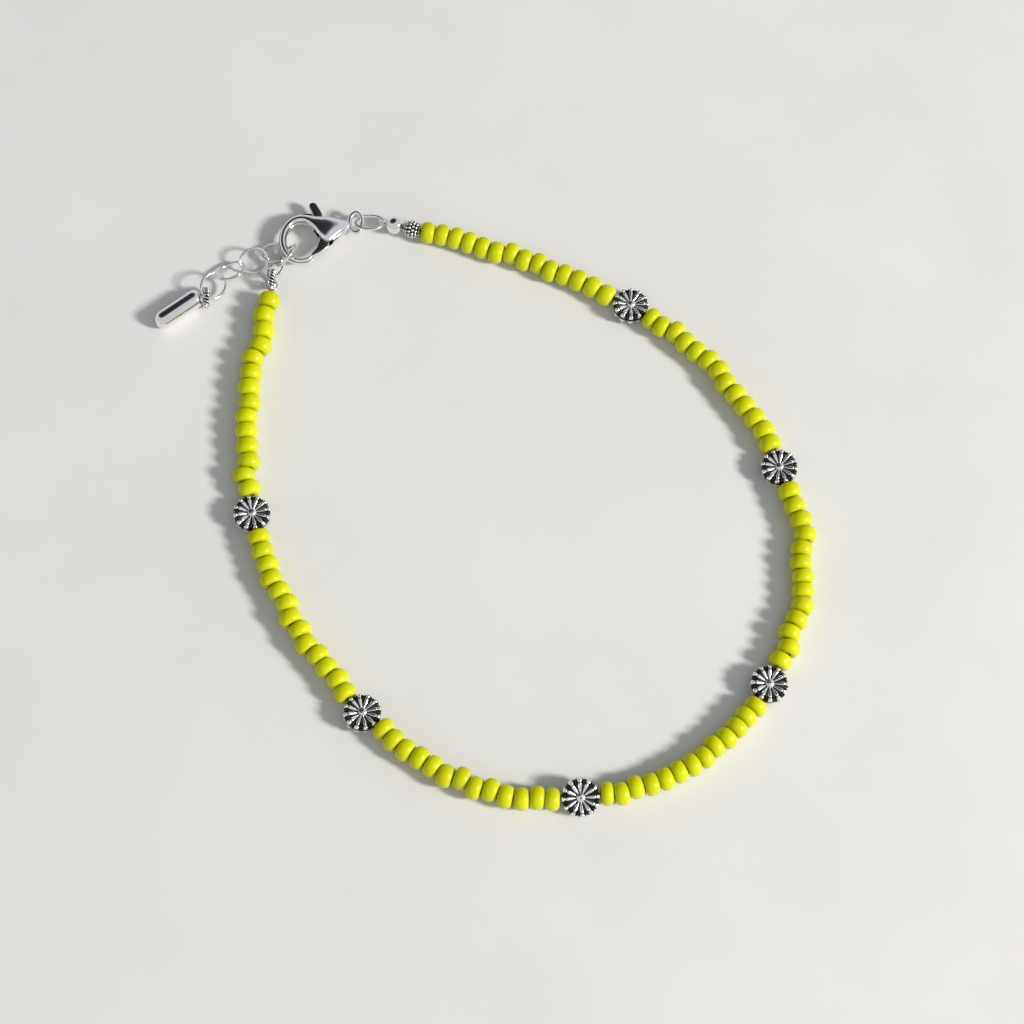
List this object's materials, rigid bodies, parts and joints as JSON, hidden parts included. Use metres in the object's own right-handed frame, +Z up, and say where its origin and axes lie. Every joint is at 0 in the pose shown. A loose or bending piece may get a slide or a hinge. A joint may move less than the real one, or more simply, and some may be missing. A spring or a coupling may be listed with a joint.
{
  "type": "beaded anklet",
  "caption": "Beaded anklet: lime green glass seed beads with cast daisy beads between, a lobster clasp, a jump ring, a short extender chain and a capsule drop, lying flat and fastened",
  "frame": {"origin": "centre of the bounding box's underside, on the surface that the anklet lies on", "axes": "+Z up from that surface; -Y towards the viewer of the picture; +X to the viewer's right"},
  "size_m": [0.086, 0.0862, 0.0034],
  "materials": {
    "lime_glass": "glossy, opaque",
    "polished_silver": "polished",
    "antiqued_silver": "antiqued, dark in the recesses"
  },
  "bodies": {
    "root": {"bead_run_1": "lime_glass", "bead_run_2": "lime_glass", "bead_run_3": "lime_glass", "bead_run_4": "lime_glass", "bead_run_5": "lime_glass", "bead_run_6": "lime_glass", "bead_run_7": "lime_glass", "daisy_1": "antiqued_silver", "daisy_2": "antiqued_silver", "daisy_3": "antiqued_silver", "daisy_4": "antiqued_silver", "daisy_5": "antiqued_silver", "daisy_6": "antiqued_silver", "granulated_bead": "antiqued_silver", "bead_tip": "polished_silver", "clasp_ring": "polished_silver", "clasp_body": "polished_silver", "big_ring": "polished_silver", "chain_link_1": "polished_silver", "chain_link_2": "polished_silver", "chain_link_3": "polished_silver", "chain_link_4": "polished_silver", "connector_link": "polished_silver", "strand_rope_ring": "antiqued_silver", "end_loop": "polished_silver", "drop_rope_ring": "antiqued_silver", "capsule_drop": "polished_silver"},
    "lever": {"clasp_lever": "polished_silver"}
  },
  "joints": [
    {"name": "clasp_lever_hinge", "type": "hinge", "parent": "root", "child": "lever", "pos_m": [-0.02089, 0.03772, 0.0016], "axis": [0, 0, -1], "range_deg": [0, 25], "stiffness_Nm_per_rad": 0.001}
  ]
}
